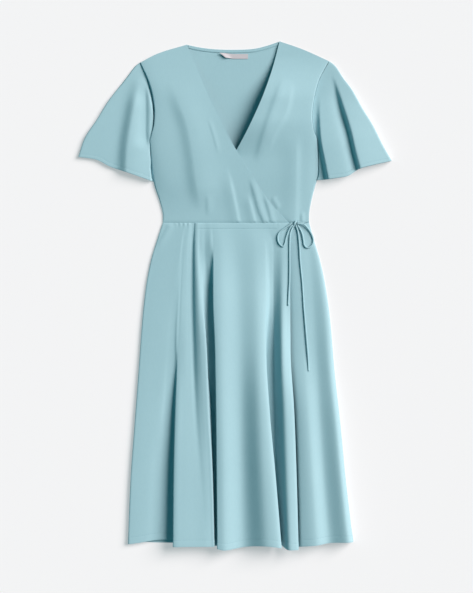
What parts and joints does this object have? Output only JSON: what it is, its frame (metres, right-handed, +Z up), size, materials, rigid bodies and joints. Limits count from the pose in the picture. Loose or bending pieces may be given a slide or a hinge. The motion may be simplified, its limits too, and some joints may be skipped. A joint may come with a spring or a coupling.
{
  "type": "wrap dress",
  "caption": "Knee-length wrap dress lying flat: crossed V neck, flutter sleeves, waist seam, flared skirt with folds and a narrow side tie in a bow.",
  "frame": {"origin": "on the surface that the dress lies on, under the middle of its outline", "axes": "+X to the right seen from above, towards the wearer's left sleeve; +Y from the hem to the neck; +Z up from the surface"},
  "size_m": [0.6914, 1.1176, 0.0298],
  "materials": {
    "dress_cloth": "matt light teal crepe jersey with a fine grain and a soft sheen",
    "tie_cloth": "narrow turned strip of the same light teal jersey",
    "label_cloth": "smooth pale pinkish grey woven ribbon, bare"
  },
  "bodies": {
    "root": {"bodice_back": "dress_cloth", "bodice_front_right": "dress_cloth", "bodice_front_left": "dress_cloth", "neck_binding_back": "dress_cloth", "neck_label": "label_cloth", "sleeve_right": "dress_cloth", "sleeve_left": "dress_cloth", "skirt_back": "dress_cloth", "skirt_front_right": "dress_cloth", "skirt_front_left": "dress_cloth", "bow_knot": "tie_cloth", "bow_loop_right": "tie_cloth", "bow_loop_left": "tie_cloth", "tie_tail_right": "tie_cloth", "tie_tail_left": "tie_cloth", "tie_side": "tie_cloth"}
  },
  "joints": []
}
